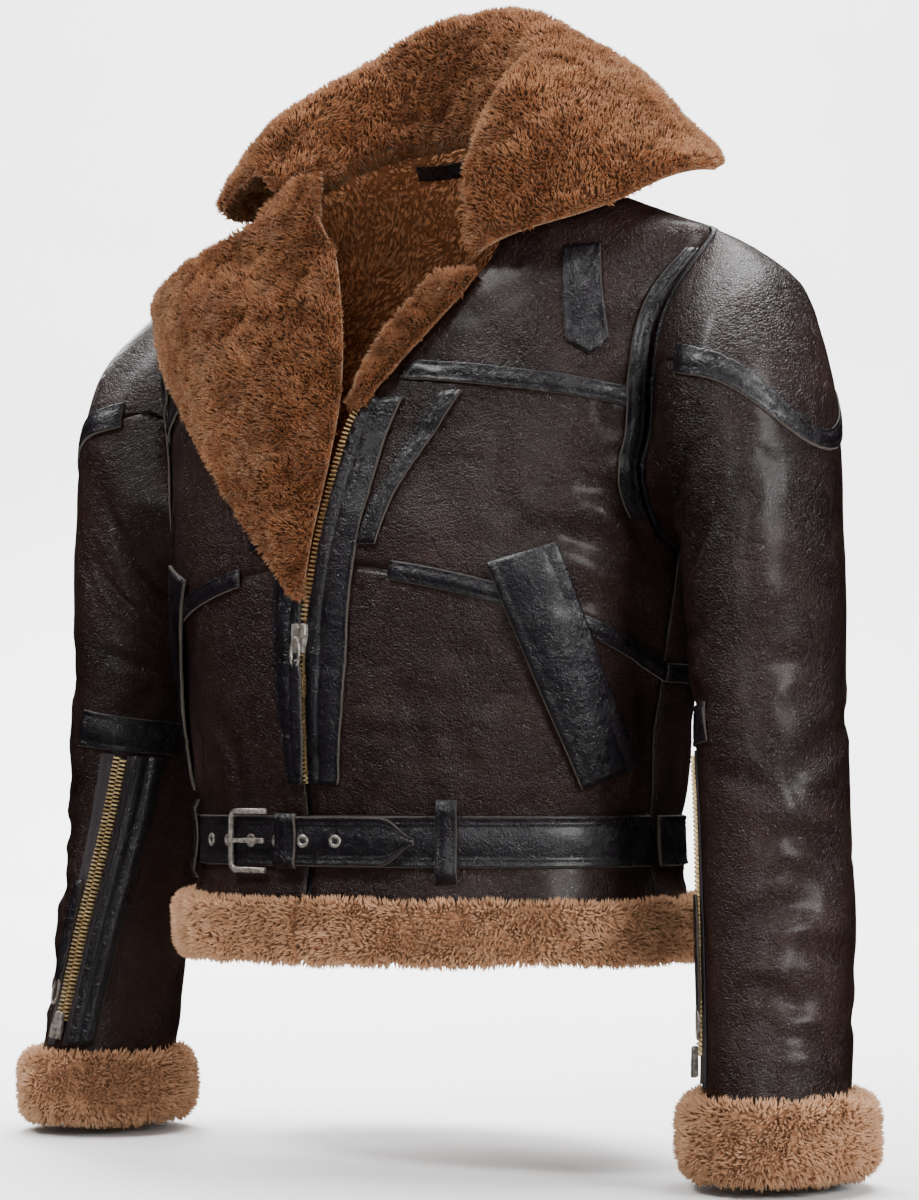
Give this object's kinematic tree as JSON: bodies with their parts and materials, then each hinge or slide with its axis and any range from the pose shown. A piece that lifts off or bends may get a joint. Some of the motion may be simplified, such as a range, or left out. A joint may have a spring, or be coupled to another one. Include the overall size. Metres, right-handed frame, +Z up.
{
  "type": "sheepskin flying jacket",
  "caption": "Waist-length sheepskin flying jacket with a wide fur collar, turned-back lapel, slanted zip and buckled belt.",
  "frame": {"origin": "midway between the shoulder tips, at their height, where the wearer holds the jacket up", "axes": "+Z up, the front faces -Y, +X is the wearer's left"},
  "size_m": [0.704, 0.3299, 0.8216],
  "materials": {
    "leather": "dark brown grained sheepskin leather, semi-gloss",
    "strip": "near-black smooth leather strips with raw edges",
    "fleece": "trimmed ginger-brown sheep fur",
    "brass": "aged brass zip teeth",
    "nickel": "antique nickel"
  },
  "bodies": {
    "root": {"front_yoke_left": "leather", "front_chest_left": "leather", "front_skirt_left": "leather", "sleeve_cap_left": "leather", "sleeve_left": "leather", "yoke_tape_left": "strip", "middle_tape_left": "strip", "zip_facing_left": "strip", "slant_strip_left": "strip", "armhole_tape_left": "strip", "pocket_welt_left": "strip", "cap_tape_left": "strip", "sleeve_band_left": "strip", "sleeve_tab_left": "strip", "belt_loop_left": "strip", "belt_loop_back_left": "strip", "sleeve_zip_left": "brass", "sleeve_slider_left": "nickel", "cuff_fur_left": "fleece", "front_yoke_right": "leather", "front_chest_right": "leather", "front_skirt_right": "leather", "sleeve_cap_right": "leather", "sleeve_right": "leather", "yoke_tape_right": "strip", "middle_tape_right": "strip", "zip_facing_right": "strip", "slant_strip_right": "strip", "armhole_tape_right": "strip", "pocket_welt_right": "strip", "cap_tape_right": "strip", "sleeve_band_right": "strip", "sleeve_tab_right": "strip", "belt_loop_right": "strip", "belt_loop_back_right": "strip", "sleeve_zip_right": "brass", "sleeve_slider_right": "nickel", "cuff_fur_right": "fleece", "back_yoke": "leather", "back_middle": "leather", "back_skirt": "leather", "back_yoke_tape": "strip", "back_middle_tape": "strip", "belt_strap": "strip", "belt_left": "strip", "belt_back": "strip", "belt_keeper": "strip", "hanger_loop": "strip", "collar_strap": "strip", "hem_fur": "fleece", "collar": "fleece", "lapel_right": "fleece", "fur_edge_left": "fleece", "zip_closed": "brass", "zip_open_left": "brass", "zip_slider": "nickel", "buckle": "nickel"},
    "main_pull": {"zip_pull": "strip"},
    "left_sleeve_pull": {"sleeve_pull_left": "strip"},
    "right_sleeve_pull": {"sleeve_pull_right": "strip"}
  },
  "joints": [
    {"name": "main_pull_swing", "type": "hinge", "parent": "root", "child": "main_pull", "pos_m": [0, -0.16017, -0.2735], "axis": [-1, 0, 0], "range_deg": [0, 120]},
    {"name": "left_sleeve_pull_swing", "type": "hinge", "parent": "root", "child": "left_sleeve_pull", "pos_m": [0.26406, -0.07829, -0.5335], "axis": [0.6918, -0.7221, 0], "range_deg": [0, 120]},
    {"name": "right_sleeve_pull_swing", "type": "hinge", "parent": "root", "child": "right_sleeve_pull", "pos_m": [-0.28521, -0.09255, -0.5335], "axis": [0.9822, -0.1877, 0], "range_deg": [0, 120]}
  ]
}
